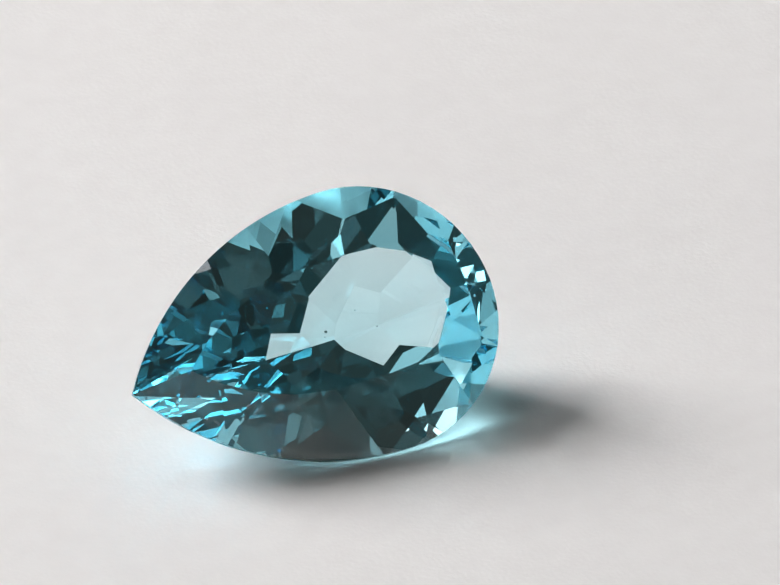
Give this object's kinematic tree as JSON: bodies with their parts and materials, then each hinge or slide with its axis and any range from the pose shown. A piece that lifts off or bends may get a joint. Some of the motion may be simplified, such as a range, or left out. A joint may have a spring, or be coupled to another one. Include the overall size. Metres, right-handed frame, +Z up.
{
  "type": "pear-cut blue topaz gemstone",
  "caption": "Clear sky-blue cut topaz with a pear outline, a flat table, a faceted crown and a deep faceted pavilion, lying loose on one pavilion facet.",
  "frame": {"origin": "on the surface that the stone lies on, under the middle of its bounding box", "axes": "+Z up with the stone lying at rest on a pavilion facet, X along the stone's length with the point of the pear towards -X and the round end towards +X, the table tipped up and towards -Y"},
  "size_m": [0.02, 0.0102, 0.0105],
  "materials": {
    "topaz": "polished clear blue topaz crystal, see-through, refractive index about 1.62"
  },
  "bodies": {
    "root": {"pear_cut_topaz": "topaz"}
  },
  "joints": []
}
